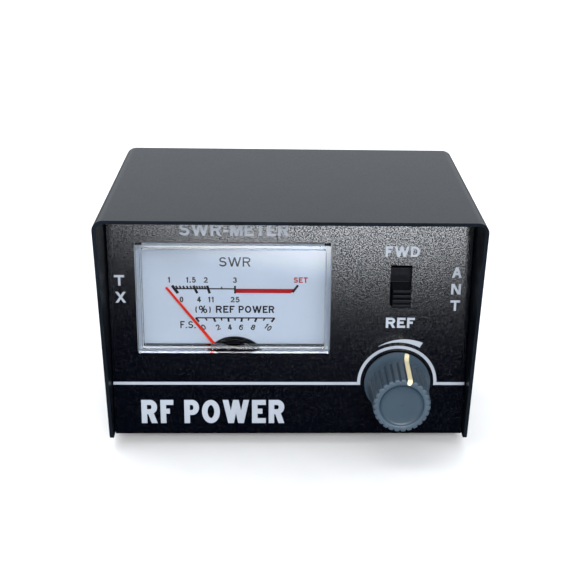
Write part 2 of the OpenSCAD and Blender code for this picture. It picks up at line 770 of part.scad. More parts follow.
module ground_wire() {
    color("#26282c") wire([[meter_x - stud_x, case_y + 3.5, lug_top],
        [meter_x - stud_x - 8, case_y + 10, lug_top + 6],
        [-32, board_y - 10, socket_z + 14], [-30, board_y, socket_z + 9]]);
}

cover();
chassis();
cover_screws();
rubber_feet();
foot_screws();
foot_nuts();
meter_window();
meter_dial();
dial_screws();
meter_case();
meter_clamp();
meter_studs();
meter_nuts();
meter_lugs();
movement_screws();
yoke_ring();
core_magnet();
core_holders();
front_bridge();
rear_bridge();
front_jewel();
rear_jewel();
needle();
coil_former();
moving_coil();
coil_staffs();
hairsprings();
switch_frame();
switch_base();
switch_terminals();
switch_nuts();
switch_slider();
switch_contacts();
pot_bushing();
pot_can();
pot_track();
pot_terminals();
pot_washer();
pot_nut();
pot_shaft();
pot_wiper();
knob();
knob_cap();
knob_pointer();
socket_shells();
socket_insulators();
socket_contacts();
socket_screws();
socket_nuts();
coupler_board();
through_line();
pickup_lines();
coupler_diodes();
coupler_resistors();
coupler_capacitors();
trimmer();
signal_wires();
ground_wire();
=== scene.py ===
import json
import math

import bmesh
import bpy
from mathutils import Matrix, Vector


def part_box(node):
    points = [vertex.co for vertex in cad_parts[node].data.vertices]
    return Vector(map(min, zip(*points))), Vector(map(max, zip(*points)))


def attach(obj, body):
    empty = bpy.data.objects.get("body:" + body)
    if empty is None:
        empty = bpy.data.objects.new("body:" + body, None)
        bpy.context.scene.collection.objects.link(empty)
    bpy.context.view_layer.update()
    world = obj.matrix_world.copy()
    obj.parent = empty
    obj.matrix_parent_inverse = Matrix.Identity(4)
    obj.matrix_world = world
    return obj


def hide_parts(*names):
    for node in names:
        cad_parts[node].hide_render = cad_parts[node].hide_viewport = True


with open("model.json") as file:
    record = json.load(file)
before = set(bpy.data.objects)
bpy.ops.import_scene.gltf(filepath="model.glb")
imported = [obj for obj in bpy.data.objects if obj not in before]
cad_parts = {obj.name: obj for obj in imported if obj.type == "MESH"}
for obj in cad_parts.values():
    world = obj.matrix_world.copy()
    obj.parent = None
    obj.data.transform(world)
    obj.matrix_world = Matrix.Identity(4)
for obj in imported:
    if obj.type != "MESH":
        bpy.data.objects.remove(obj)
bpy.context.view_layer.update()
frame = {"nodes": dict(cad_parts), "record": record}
record = frame["record"]
MM = 0.001

# ---- places, all read from the frame ----

joints = {j["name"]: j for j in record["behaviour"]["joints"]}
mounts = {m["name"]: m for m in record["mounts"]}
chassis_low, chassis_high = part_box("chassis")
PANEL_Y = chassis_low.y
PANEL_Z = chassis_low.z
WALL_Y = chassis_high.y
PIVOT = Vector(joints["needle_swing"]["pos_m"])
DIAL_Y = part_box("meter_dial")[0].y
KNOB = Vector(joints["knob_turn"]["pos_m"])
SOCKETS = ("tx_thread", "ant_thread")
# Thickness of the print, and the step between strokes that cross
INK = 0.03 * MM
LAYER = 0.0006 * MM

# ---- light levels ----

# Strength of the sky, and the share of it left towards the two sides
SKY = 1.1
SIDES = 0.4
# The bright patch: its strength, direction, sizes and the heights between which its top fades
PATCH = 11.2
PATCH_AT = (0.07, -0.976, -0.208)
PATCH_IN = math.radians(6.0)
PATCH_OUT = math.radians(9.0)
PATCH_TOP = (-0.285, -0.245)
# Power of the two lamps, in watts
TOP_POWER = 8.0
FRONT_POWER = 12.0


# ---- materials ----

def shader(name):
    """A new material and its node tree, with object coordinates ready to use."""
    material = bpy.data.materials.new(name)
    material.use_nodes = True
    tree = material.node_tree
    coords = tree.nodes.new("ShaderNodeTexCoord").outputs["Object"]
    return material, tree, tree.nodes["Principled BSDF"], coords


def noise(tree, coords, size, detail=3.0, stretch=None):
    """Noise whose features are about size millimetres across."""
    if stretch:
        mapping = tree.nodes.new("ShaderNodeMapping")
        mapping.inputs["Scale"].default_value = stretch
        tree.links.new(coords, mapping.inputs["Vector"])
        coords = mapping.outputs["Vector"]
    node = tree.nodes.new("ShaderNodeTexNoise")
    node.inputs["Scale"].default_value = 1 / (size * MM)
    node.inputs["Detail"].default_value = detail
    tree.links.new(coords, node.inputs["Vector"])
    return node.outputs["Fac"]


def blend(tree, fac, low, high, start=0.35, end=0.65):
    """A colour that goes from low to high as fac goes from start to end."""
    ramp = tree.nodes.new("ShaderNodeValToRGB")
    for element, place, colour in zip(ramp.color_ramp.elements, (start, end), (low, high)):
        element.position = place
        element.color = (*colour, 1)
    tree.links.new(fac, ramp.inputs["Fac"])
    return ramp.outputs["Color"]


def spread(tree, fac, low, high):
    """A number that goes from low to high as fac goes from 0.3 to 0.7."""
    node = tree.nodes.new("ShaderNodeMapRange")
    for name, value in (("From Min", 0.3), ("From Max", 0.7), ("To Min", low), ("To Max", high)):
        node.inputs[name].default_value = value
    tree.links.new(fac, node.inputs["Value"])
    return node.outputs["Result"]


def add_bump(tree, bsdf, heights):
    """Chains bumps; each is a height, its strength and its depth in millimetres."""
    normal = None
    for height, strength, depth in heights:
        node = tree.nodes.new("ShaderNodeBump")
        node.inputs["Strength"].default_value = strength
        node.inputs["Distance"].default_value = depth * MM
        tree.links.new(height, node.inputs["Height"])
        if normal:
            tree.links.new(normal, node.inputs["Normal"])
        normal = node.outputs["Normal"]
    tree.links.new(normal, bsdf.inputs["Normal"])


def shade(colour, factor):
    """A colour made darker or lighter."""
    return tuple(c * factor for c in colour)


def finish(name, colour, rough, metal=0.0, grain=0.4, depth=0.02, vary=0.12, specular=0.5,
           stretch=None, coat=0.0):
    """Plastic, paint or metal: a fine grain, a broad tone change and uneven roughness."""
    material, tree, bsdf, coords = shader(name)
    broad = noise(tree, coords, 9, 4)
    fine = noise(tree, coords, grain, 5, stretch)
    tree.links.new(blend(tree, broad, shade(colour, 1 - vary), shade(colour, 1 + vary)),
                   bsdf.inputs["Base Color"])
    tree.links.new(spread(tree, fine, rough * 0.85, min(1, rough * 1.15)), bsdf.inputs["Roughness"])
    bsdf.inputs["Metallic"].default_value = metal
    bsdf.inputs["Specular IOR Level"].default_value = specular
    bsdf.inputs["Coat Weight"].default_value = coat
    bsdf.inputs["Coat Roughness"].default_value = 0.12
    add_bump(tree, bsdf, [(fine, 0.5, depth)])
    return material


def wrinkle_paint(name):
    """The front panel's black wrinkle paint: fine grains, some glossy and some dull."""
    material, tree, bsdf, coords = shader(name)
    grains = noise(tree, coords, 0.34, 2)
    ripple = noise(tree, coords, 0.7, 3)
    specks = noise(tree, coords, 0.38, 1)
    tree.links.new(blend(tree, specks, (0.0006, 0.0009, 0.0028), (0.008, 0.009, 0.012), 0.56, 0.74),
                   bsdf.inputs["Base Color"])
    tree.links.new(blend(tree, grains, (0.08, 0.08, 0.09), (1.0, 1.0, 1.0), 0.4, 0.6),
                   bsdf.inputs["Specular Tint"])
    tree.links.new(spread(tree, specks, 0.08, 0.15), bsdf.inputs["Roughness"])
    bsdf.inputs["Specular IOR Level"].default_value = 1.0
    add_bump(tree, bsdf, [(ripple, 0.6, 0.004), (grains, 1.0, 0.009)])
    return material


def clear_acrylic(name):
    """The window: clear, with a trace of haze."""
    material, tree, bsdf, coords = shader(name)
    haze = noise(tree, coords, 6, 3)
    tree.links.new(spread(tree, haze, 0.0, 0.02), bsdf.inputs["Roughness"])
    bsdf.inputs["Base Color"].default_value = (0.975, 0.985, 1.0, 1)
    bsdf.inputs["Transmission Weight"].default_value = 1.0
    bsdf.inputs["IOR"].default_value = 1.49
    bsdf.inputs["Specular IOR Level"].default_value = 0.25
    return material


def plain_metal(name, colour, rough):
    """Metal with a very fine even grain."""
    return finish(name, colour, rough, metal=1.0, grain=0.25, depth=0.012, vary=0.08)


def brushed(name, colour, rough, stretch=(1, 1, 14)):
    """Metal whose grain runs one way."""
    return finish(name, colour, rough, metal=1.0, grain=0.8, depth=0.01, vary=0.07, stretch=stretch)


MATERIALS = {
    "cover_paint": finish("cover_paint", (0.0055, 0.0085, 0.0135), 0.36, grain=0.25, depth=0.008,
                          vary=0.2, specular=0.16),
    "panel_paint": wrinkle_paint("panel_paint"),
    "zinc_steel": brushed("zinc_steel", (0.55, 0.56, 0.58), 0.32),
    "foot_rubber": finish("foot_rubber", (0.012, 0.012, 0.012), 0.75, grain=0.5, depth=0.05),
    "clear_acrylic": clear_acrylic("clear_acrylic"),
    "dial_paint": finish("dial_paint", (0.74, 0.85, 1.0), 0.6, grain=0.35, depth=0.006, vary=0.015),
    "brass": plain_metal("brass", (0.66, 0.44, 0.16), 0.3),
    "black_plastic": finish("black_plastic", (0.004, 0.005, 0.009), 0.5, depth=0.006, specular=0.1),
    "tinned_metal": plain_metal("tinned_metal", (0.68, 0.69, 0.7), 0.35),
    "soft_iron": plain_metal("soft_iron", (0.3, 0.31, 0.33), 0.45),
    "magnet_iron": plain_metal("magnet_iron", (0.2, 0.2, 0.22), 0.35),
    "spring_bronze": plain_metal("spring_bronze", (0.7, 0.45, 0.18), 0.25),
    "phenolic": finish("phenolic", (0.09, 0.04, 0.02), 0.5, grain=0.6, depth=0.02, vary=0.2),
    "nickel_plate": plain_metal("nickel_plate", (0.62, 0.59, 0.52), 0.36),
    "white_insulator": finish("white_insulator", (0.82, 0.8, 0.72), 0.4, vary=0.03),
    "gold_plate": plain_metal("gold_plate", (0.83, 0.6, 0.25), 0.22),
    "board_laminate": finish("board_laminate", (0.28, 0.16, 0.05), 0.45, grain=0.5, vary=0.15),
    "copper": plain_metal("copper", (0.75, 0.33, 0.16), 0.3),
    "diode_glass": finish("diode_glass", (0.6, 0.12, 0.04), 0.12, coat=0.8),
    "resistor_coat": finish("resistor_coat", (0.55, 0.4, 0.2), 0.3, coat=0.4),
    "capacitor_coat": finish("capacitor_coat", (0.6, 0.2, 0.03), 0.3, coat=0.4),
    "trimmer_ceramic": finish("trimmer_ceramic", (0.75, 0.7, 0.58), 0.5, vary=0.05),
    "wire_red": finish("wire_red", (0.5, 0.03, 0.015), 0.4, coat=0.2),
    "wire_black": finish("wire_black", (0.012, 0.012, 0.014), 0.4, coat=0.2),
    "needle_paint": finish("needle_paint", (1.0, 0.035, 0.01), 0.4, grain=0.2, depth=0.004,
                           vary=0.06, specular=0.3),
    "former_metal": plain_metal("former_metal", (0.6, 0.61, 0.63), 0.3),
    "slider_plastic": finish("slider_plastic", (0.004, 0.0045, 0.0075), 0.4, grain=0.3, depth=0.008,
                             specular=0.15),
    "shaft_metal": brushed("shaft_metal", (0.7, 0.71, 0.72), 0.3, (14, 1, 14)),
    "knob_plastic": finish("knob_plastic", (0.046, 0.072, 0.1), 0.42, grain=0.3, depth=0.012,
                           vary=0.08, specular=0.45),
    "knob_face": finish("knob_face", (0.026, 0.048, 0.071), 0.36, grain=0.45, depth=0.012, vary=0.08),
    "pointer_cream": finish("pointer_cream", (0.82, 0.72, 0.46), 0.45, grain=0.3, depth=0.02,
                            vary=0.06),
}
PRINT_WHITE = finish("print_white", (0.32, 0.355, 0.41), 0.55, grain=0.2, depth=0.012, vary=0.05)
PRINT_BLACK = finish("print_black", (0.008, 0.01, 0.025), 0.6, grain=0.2, depth=0.008, vary=0.1)
PRINT_RED = finish("print_red", (0.58, 0.0, 0.004), 0.55, grain=0.2, depth=0.008, vary=0.08)


# ---- meshes ----

def add_piece(name, mesh, material, body, sharp=50):
    """Links a mesh as a piece that rides on a body, shaded smooth up to an angle."""
    mesh.shade_smooth()
    mesh.set_sharp_from_angle(angle=math.radians(sharp))
    mesh.materials.clear()
    mesh.materials.append(material)
    piece = bpy.data.objects.new(name, mesh)
    bpy.context.scene.collection.objects.link(piece)
    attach(piece, body)
    return piece


def mesh_from(name, verts, faces):
    """A mesh with its doubled points merged and its faces turned outwards."""
    mesh = bpy.data.meshes.new(name)
    mesh.from_pydata(verts, [], faces)
    bm = bmesh.new()
    bm.from_mesh(mesh)
    bmesh.ops.remove_doubles(bm, verts=bm.verts, dist=1e-7)
    bmesh.ops.recalc_face_normals(bm, faces=bm.faces)
    bm.to_mesh(mesh)
    bm.free()
    return mesh


node_slot = {s["node"]: s["material_slot"] for s in record["subparts"]}
node_body = {n: b for b, names in record["behaviour"]["bodies"].items() for n in names}
EDGE_ANGLE = math.radians(32)
FLAT_ANGLE = math.radians(0.4)


def soften(node, width):
    """A copy of a CAD node with its edges rounded, width millimetres wide."""
    bm = bmesh.new()
    bm.from_mesh(frame["nodes"][node].data)
    bmesh.ops.remove_doubles(bm, verts=bm.verts, dist=1e-6)
    bmesh.ops.dissolve_limit(bm, angle_limit=FLAT_ANGLE, verts=bm.verts, edges=bm.edges)
    edges = [e for e in bm.edges if len(e.link_faces) == 2 and e.calc_face_angle(0) > EDGE_ANGLE]
    bmesh.ops.bevel(bm, geom=edges, offset=width * MM, segments=2, profile=0.5,
                    affect="EDGES", clamp_overlap=True)
    mesh = bpy.data.meshes.new(node + "_rounded")
    bm.to_mesh(mesh)
    bm.free()
    slot = node_slot[node]
    piece = add_piece(node + "_rounded", mesh, MATERIALS[slot], node_body[node])
    weighted = piece.modifiers.new("even_normals", "WEIGHTED_NORMAL")
    weighted.keep_sharp = True
    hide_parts(node)


def rings(rows, centre, turn=0.0):
    """Points and faces of rings about a line along y; rows is a closed loop of rings of (radius, y)."""
    around = len(rows[0])
    verts = []
    for row in rows:
        for k, (r, y) in enumerate(row):
            a = 2 * math.pi * k / around + turn
            verts.append((centre[0] + r * math.sin(a), y, centre[1] + r * math.cos(a)))
    faces = []
    for j in range(len(rows)):
        here, following = j * around, (j + 1) % len(rows) * around
        for k in range(around):
            step = (k + 1) % around
            faces.append((here + k, here + step, following + step, following + k))
    return verts, faces


def joined(parts):
    """The points and faces of several meshes as one."""
    verts, faces = [], []
    for part_verts, part_faces in parts:
        start = len(verts)
        verts += part_verts
        faces += [tuple(i + start for i in f) for f in part_faces]
    return verts, faces


def band(inner, outer, y, thick, closed=False):
    """A flat band between two rows of (x, z) points, its face at y and its back at y + thick."""
    n = len(inner)
    verts = [(x, depth, z) for depth in (y, y + thick) for row in (inner, outer) for x, z in row]
    faces = []
    for k in range(n - 1):
        faces.append((k, k + 1, n + k + 1, n + k))
        faces.append((2 * n + k, 3 * n + k, 3 * n + k + 1, 2 * n + k + 1))
        faces.append((k, 2 * n + k, 2 * n + k + 1, k + 1))
        faces.append((n + k, n + k + 1, 3 * n + k + 1, 3 * n + k))
    for k in () if closed else (0, n - 1):
        faces.append((k, n + k, 3 * n + k, 2 * n + k))
    return verts, faces


def line(start, end, width, y):
    """A straight printed line."""
    a, b = Vector(start), Vector(end)
    side = (b - a).normalized().orthogonal() * (width / 2)
    return band([a - side, b - side], [a + side, b + side], y, INK)


def arc_band(centre, inner, outer, start, end, y, steps=48):
    """A band round a centre; angles run clockwise from upright, and radii may be pairs."""
    inner = inner if isinstance(inner, tuple) else (inner, inner)
    outer = outer if isinstance(outer, tuple) else (outer, outer)
    rows = ([], [])
    for k in range(steps + 1):
        t = k / steps
        a = math.radians(start + (end - start) * t)
        for row, (r0, r1) in zip(rows, (inner, outer)):
            r = r0 + (r1 - r0) * t
            row.append((centre[0] + r * math.sin(a), centre[1] + r * math.cos(a)))
    return band(*rows, y, INK)


def arc(cx, cz, rx, rz, start, end):
    """Points on an ellipse, in degrees anticlockwise from the right."""
    steps = max(4, round(abs(end - start) / 11))
    angles = [math.radians(start + (end - start) * k / steps) for k in range(steps + 1)]
    return [(cx + rx * math.cos(a), cz + rz * math.sin(a)) for a in angles]


STEM = [(0, 0), (0, 1)]
CAP = [(0, 1), (1, 1)]
# Each character: its width for a height of 1, and its strokes' middle lines in a unit box
GLYPHS = {
    "A": (0.76, [[(0, 0), (0.5, 1)], [(0.5, 1), (1, 0)], [(0.2, 0.3), (0.8, 0.3)]]),
    "D": (0.72, [STEM, CAP[:1] + arc(0.4, 0.5, 0.6, 0.5, 90, -90) + [(0, 0)]]),
    "E": (0.62, [STEM, CAP, [(0, 0.52), (0.93, 0.52)], [(0, 0), (1, 0)]]),
    "F": (0.58, [STEM, CAP, [(0, 0.52), (0.88, 0.52)]]),
    "M": (0.84, [STEM, [(1, 0), (1, 1)], [(0.06, 1), (0.5, 0)], [(0.5, 0), (0.94, 1)]]),
    "N": (0.72, [STEM, [(1, 0), (1, 1)], [(0.08, 1), (0.92, 0)]]),
    "O": (0.8, [arc(0.5, 0.5, 0.5, 0.5, 0, 360)]),
    "P": (0.66, [STEM, CAP[:1] + arc(0.56, 0.725, 0.44, 0.275, 90, -90) + [(0, 0.45)]]),
    "R": (0.72, [STEM, CAP[:1] + arc(0.56, 0.745, 0.4, 0.255, 90, -90) + [(0, 0.49)],
                 [(0.56, 0.49), (0.96, 0)]]),
    "S": (0.68, [arc(0.5, 0.755, 0.44, 0.245, 18, 265) + arc(0.5, 0.26, 0.5, 0.26, 82, -162)]),
    "T": (0.64, [CAP, [(0.5, 0.9), (0.5, 0)]]),
    "W": (1.18, [[(0, 1), (0.26, 0)], [(0.26, 0), (0.5, 1)], [(0.5, 1), (0.74, 0)], [(0.74, 0), (1, 1)]]),
    "X": (0.72, [[(0.04, 0), (0.96, 1)], [(0.04, 1), (0.96, 0)]]),
    "0": (0.56, [arc(0.5, 0.5, 0.5, 0.5, 0, 360)]),
    "1": (0.36, [[(0.75, 0), (0.75, 1)], [(0, 0.72), (0.75, 0.93)]]),
    "2": (0.56, [arc(0.5, 0.7, 0.46, 0.3, 165, -38) + [(0.02, 0), (1, 0)]]),
    "3": (0.56, [arc(0.48, 0.755, 0.42, 0.245, 160, -90), arc(0.48, 0.26, 0.5, 0.26, 90, -165)]),
    "4": (0.58, [[(0.72, 0), (0.72, 1)], [(0.66, 1), (0, 0.28)], [(0, 0.28), (1, 0.28)]]),
    "5": (0.56, [[(0.92, 1), (0.16, 1), (0.08, 0.5)] + arc(0.46, 0.32, 0.53, 0.32, 125, -155)]),
    "6": (0.56, [arc(0.5, 0.31, 0.5, 0.31, 0, 360), arc(0.6, 0.42, 0.6, 0.58, 180, 48)]),
    "8": (0.56, [arc(0.5, 0.76, 0.42, 0.24, 0, 360), arc(0.5, 0.265, 0.5, 0.265, 0, 360)]),
    "(": (0.26, [arc(1.2, 0.45, 1.2, 0.62, 128, 232)]),
    ")": (0.26, [arc(-0.2, 0.45, 1.2, 0.62, 52, -52)]),
    "%": (0.95, [arc(0.2, 0.74, 0.2, 0.26, 0, 360), arc(0.8, 0.26, 0.2, 0.26, 0, 360),
                 [(0.27, 0), (0.73, 1)]]),
    "-": (0.34, [[(0, 0.36), (1, 0.36)]]),
    ".": (0.2, [[(0, 0), (1, 0)]]),
    " ": (0.22, []),
}
LETTER_GAP = 0.13
LONGEST_MITRE = 1.6


def stroke_sides(points, corner, size, wide):
    """The two edges of one stroke, its ends cut level or upright and its corners mitred."""
    x0, z0 = corner
    w, h = size
    run = max(w - wide, 0.01 * h)
    slanted = len(points) == 2 and points[0][0] != points[1][0] and points[0][1] != points[1][1]
    foot, rise = (0, h) if slanted else (wide / 2, h - wide)
    path = [Vector((x0 + wide / 2 + u * run, z0 + foot + v * rise)) for u, v in points]
    closed = (Vector(points[0]) - Vector(points[-1])).length < 1e-6
    last = len(path) - 1
    left, right = [], []
    for k, point in enumerate(path):
        before = path[k - 1] if k else (path[last - 1] if closed else None)
        after = path[k + 1] if k < last else (path[1] if closed else None)
        ways = [(point - before).normalized()] if before else []
        ways += [(after - point).normalized()] if after else []
        if len(ways) == 2:
            mid = (ways[0] + ways[1]).normalized()
            stretch = min(1 / max(mid.dot(ways[0]), 0.3), LONGEST_MITRE)
            side = Vector((-mid.y, mid.x)) * (stretch * wide / 2)
        else:
            way = ways[0]
            if abs(way.y) > 0.55:
                side = Vector((-wide / 2 / way.y, 0))
                if points[k][1] in (0, 1):
                    point = point + way * ((z0 + points[k][1] * h - point.y) / way.y)
            else:
                side = Vector((0, wide / 2 / way.x))
                if points[k][0] in (0, 1):
                    point = point + way * ((x0 + points[k][0] * w - point.x) / way.x)
        left.append(point + side)
        right.append(point - side)
    return left, right, closed


def text(words, box, y, wide, turn=0.0, facing=1):
    """Plain capitals and digits drawn with strokes wide metres wide, filling a box (x0, z0, x1, z1)."""
    x0, z0, x1, z1 = box
    total = sum(GLYPHS[c][0] for c in words) + LETTER_GAP * (len(words) - 1)
    scale = (x1 - x0) / total
    middle = Vector(((x0 + x1) / 2, (z0 + z1) / 2))
    lean = Matrix.Rotation(-math.radians(turn), 2)
    parts, pen = [], x0
    for letter in words:
        share, strokes = GLYPHS[letter]
        for layer, points in enumerate(strokes):
            left, right, closed = stroke_sides(points, (pen, z0), (share * scale, z1 - z0), wide)
            rows = []
            for row in (left, right):
                moved = [lean @ (p - middle) for p in row]
                rows.append([(middle.x + facing * p.x, middle.y + p.y) for p in moved])
            parts.append(band(*rows, y - facing * LAYER * layer, facing * INK, closed))
        pen += (share + LETTER_GAP) * scale
    return joined(parts)


def printed(name, parts, material):
    """One piece made of many printed marks."""
    add_piece(name, mesh_from(name, *joined(parts)), material, "housing", sharp=30)


def mm_box(x0, z0, x1, z1, origin):
    """A box in metres from one in millimetres beside an origin."""
    ox, oz = origin
    return (ox + x0 * MM, oz + z0 * MM, ox + x1 * MM, oz + z1 * MM)


# ---- camera, floor and light ----

def place_camera():
    """Looks about 20 degrees down at the panel, from just left of its middle."""
    pan, down, roll = (math.radians(a) for a in (-2.8239, 20.1894, 1.29))
    camera = bpy.data.cameras.new("camera")
    holder = bpy.data.objects.new("camera", camera)
    bpy.context.scene.collection.objects.link(holder)
    holder.location = (-3.0 * MM, -325.6 * MM, 162.4 * MM)
    turn = (Matrix.Rotation(pan, 3, "Z") @ Matrix.Rotation(math.pi / 2 - down, 3, "X")
            @ Matrix.Rotation(roll, 3, "Z"))
    holder.rotation_euler = turn.to_euler()
    camera.lens = 73.41
    camera.sensor_width = 36
    camera.shift_x = -0.0776
    camera.shift_y = -0.0345
    camera.clip_start = 0.01
    camera.clip_end = 50
    bpy.context.scene.camera = holder


def softbox(name, place, aim, size, power):
    """A rectangular lamp that looks at a point."""
    lamp = bpy.data.lights.new(name, "AREA")
    lamp.shape = "RECTANGLE"
    lamp.size, lamp.size_y = size
    lamp.energy = power
    holder = bpy.data.objects.new(name, lamp)
    holder.location = place
    holder.rotation_euler = (Vector(aim) - Vector(place)).to_track_quat("-Z", "Y").to_euler()
    bpy.context.scene.collection.objects.link(holder)


def make_world():
    """A white sky, nothing below the floor, and one soft bright patch low in front for the gloss."""
    world = bpy.data.worlds.new("studio")
    bpy.context.scene.world = world
    world.use_nodes = True
    tree = world.node_tree
    ray = tree.nodes.new("ShaderNodeTexCoord").outputs["Generated"]

    def node(kind, operation, *values):
        made = tree.nodes.new(kind)
        made.operation = operation
        for socket, value in zip(made.inputs, values):
            if hasattr(value, "links"):
                tree.links.new(value, socket)
            else:
                socket.default_value = value
        return made

    def ramp(value, low, high, start, end):
        made = tree.nodes.new("ShaderNodeMapRange")
        made.interpolation_type = "SMOOTHSTEP"
        tree.links.new(value, made.inputs["Value"])
        for name, number in (("From Min", low), ("From Max", high), ("To Min", start), ("To Max", end)):
            made.inputs[name].default_value = number
        return made.outputs["Result"]

    height = tree.nodes.new("ShaderNodeSeparateXYZ")
    tree.links.new(ray, height.inputs[0])
    sky = ramp(height.outputs["Z"], -0.03, 0.0, 0.0, SKY)
    aside = node("ShaderNodeMath", "ABSOLUTE", height.outputs["X"]).outputs["Value"]
    sky = node("ShaderNodeMath", "MULTIPLY", sky, ramp(aside, 0.5, 0.85, 1.0, SIDES)).outputs["Value"]
    offset = node("ShaderNodeVectorMath", "SUBTRACT", ray, PATCH_AT).outputs["Vector"]
    scaled = node("ShaderNodeVectorMath", "MULTIPLY", offset, (0.5, 1, 1)).outputs["Vector"]
    apart = node("ShaderNodeVectorMath", "LENGTH", scaled).outputs["Value"]
    patch = ramp(apart, PATCH_IN, PATCH_OUT, PATCH, 0.0)
    below = ramp(height.outputs["Z"], *PATCH_TOP, 1.0, 0.0)
    patch = node("ShaderNodeMath", "MULTIPLY", patch, below).outputs["Value"]
    total = node("ShaderNodeMath", "ADD", sky, patch).outputs["Value"]
    background = tree.nodes["Background"]
    background.inputs["Color"].default_value = (0.92, 0.955, 1, 1)
    tree.links.new(total, background.inputs["Strength"])


def make_stage():
    """The sky, two soft lamps and a plain pale floor."""
    bpy.context.scene.view_settings.view_transform = "Standard"
    make_world()
    softbox("top_light", (-0.3, 0.1, 1.3), (0, 0, 0), (1.2, 1.2), TOP_POWER)
    softbox("front_light", (0.15, -1.1, 0.55), (0, 0, 0.04), (0.7, 0.4), FRONT_POWER)
    reach = 40
    corners = [(-reach, -reach, 0), (reach, -reach, 0), (reach, reach, 0), (-reach, reach, 0)]
    mesh = bpy.data.meshes.new("floor")
    mesh.from_pydata(corners, [], [(0, 1, 2, 3)])
    mesh.materials.append(finish("floor_paper", (0.94, 0.94, 0.94), 0.9, grain=1.5, depth=0.02,
                                 vary=0.01, specular=0.1))
    floor = bpy.data.objects.new("floor", mesh)
    floor.visible_glossy = False
    floor.visible_transmission = False
    bpy.context.scene.collection.objects.link(floor)


# ---- front panel print ----

def panel_print():
    """White legends, the rule across the panel and the ring and wedge round the knob."""
    origin = (0, PANEL_Z)
    y = PANEL_Y - INK
    knob = (KNOB.x, PANEL_Z + 16.5 * MM)
    edge = chassis_high.x
    rule, rule_z = 0.86 * MM, knob[1] - 0.4 * MM
    ring = (10.2 * MM, 11.06 * MM)
    parts = [
        text("SWR-METER", mm_box(-29.5, 59.1, -0.7, 62.6, origin), y, 0.68 * MM),
        text("T", mm_box(-47.1, 44.9, -44.4, 47.9, origin), y, 0.64 * MM),
        text("X", mm_box(-47.0, 40.0, -44.1, 43.1, origin), y, 0.62 * MM),
        text("FWD", mm_box(25.2, 53.5, 34.4, 56.5, origin), y, 0.64 * MM),
        text("REF", mm_box(26.0, 32.9, 33.9, 35.9, origin), y, 0.68 * MM),
        text("RF POWER", mm_box(-41.2, 3.8, -1.4, 11.0, origin), y, 1.55 * MM),
    ]
    for letter, z in zip("ANT", (47.6, 42.8, 38.0)):
        parts.append(text(letter, mm_box(43.4, z, 46.0, z + 3.05, origin), y, 0.62 * MM))
    parts.append(line((-edge, rule_z), (knob[0] - ring[0], rule_z), rule, y))
    parts.append(line((knob[0] + ring[0], rule_z), (edge, rule_z), rule, y))
    parts.append(arc_band(knob, *ring, -90, 90, y, 64))
    parts.append(arc_band(knob, 12.05 * MM, (12.12 * MM, 13.7 * MM), -27.5, 29.3, y, 32))
    printed("panel_print", parts, PRINT_WHITE)


# ---- meter ----

def dial_print():
    """Two straight scales above the needle's pivot, read at radial ticks."""
    origin = (PIVOT.x, PIVOT.z)
    y = DIAL_Y - INK

    def at(angle, z):
        """The point at a height above the pivot, seen from the pivot at an angle from upright."""
        return (origin[0] + z * MM * math.tan(math.radians(angle)), origin[1] + z * MM)

    def tick(angle, low, high, width):
        return line(at(angle, low), at(angle, high), width * MM, y)

    def word(words, x0, z0, x1, z1, wide=0.31, turn=0.0):
        return text(words, mm_box(x0, z0, x1, z1, origin), y, wide * MM, turn)

    black = [
        word("SWR", -4.1, 29.9, 4.45, 32.6, 0.4),
        word("1", -18.0, 25.2, -17.3, 26.8),
        word("1.5", -13.1, 25.2, -10.4, 26.8),
        word("2", -8.3, 25.2, -7.2, 26.8),
        word("3", -0.4, 25.2, 0.7, 26.8),
        word("0", -14.9, 19.5, -13.9, 21.1),
        word("4", -10.2, 19.5, -9.1, 21.1),
        word("11", -7.2, 19.5, -5.6, 21.1),
        word("25", -1.1, 19.5, 1.4, 21.1),
        word("(%)", -10.7, 16.3, -6.5, 18.5, 0.33),
        word("REF", -5.1, 16.4, 0.0, 18.5, 0.42),
        word("POWER", 1.1, 16.4, 10.9, 18.5, 0.42),
        word("F.S.", -14.9, 11.8, -10.7, 13.9, 0.34),
        line(at(-35.4, 23.45), at(0.3, 23.45), 0.36 * MM, y),
        line(at(-35.6, 14.9), at(36.4, 14.9), 0.36 * MM, y),
        tick(35.1, 22.5, 24.6, 0.6),
    ]
    for angle, width in ((-34.7, 0.8), (-24.5, 0.68), (-16.9, 0.68), (0.4, 0.5)):
        black.append(tick(angle, 22.1, 24.35, width))
    for angle in (-33.2, -31.6, -29.9, -28.1, -26.3, -23.0, -21.5, -20.0, -18.5):
        black.append(tick(angle, 23.4, 24.25, 0.46))
    black.append(tick(-8.3, 23.4, 24.05, 0.3))
    for k in range(11):
        low, width = (14.1, 0.4) if k % 2 else (13.75, 0.54)
        black.append(tick(-35.4 + 7.17 * k, low, 14.9, width))
    for k, digits in enumerate(("0", "2", "4", "6", "8", "10")):
        angle = -35.3 + 14.5 * k
        x = 12.1 * math.tan(math.radians(angle))
        half = 0.55 if len(digits) == 1 else 0.95
        black.append(word(digits, x - half, 11.3, x + half, 12.95, turn=angle))
    printed("dial_scales", black, PRINT_BLACK)
    low, high = 22.25, 23.5
    bar = band([at(0.5, low), at(34.6, low)], [at(0.5, high), at(35.4, high)], y, INK)
    red = [bar, word("SET", 16.1, 25.3, 19.9, 26.9, 0.33)]
    printed("dial_red", red, PRINT_RED)


# ---- knob ----

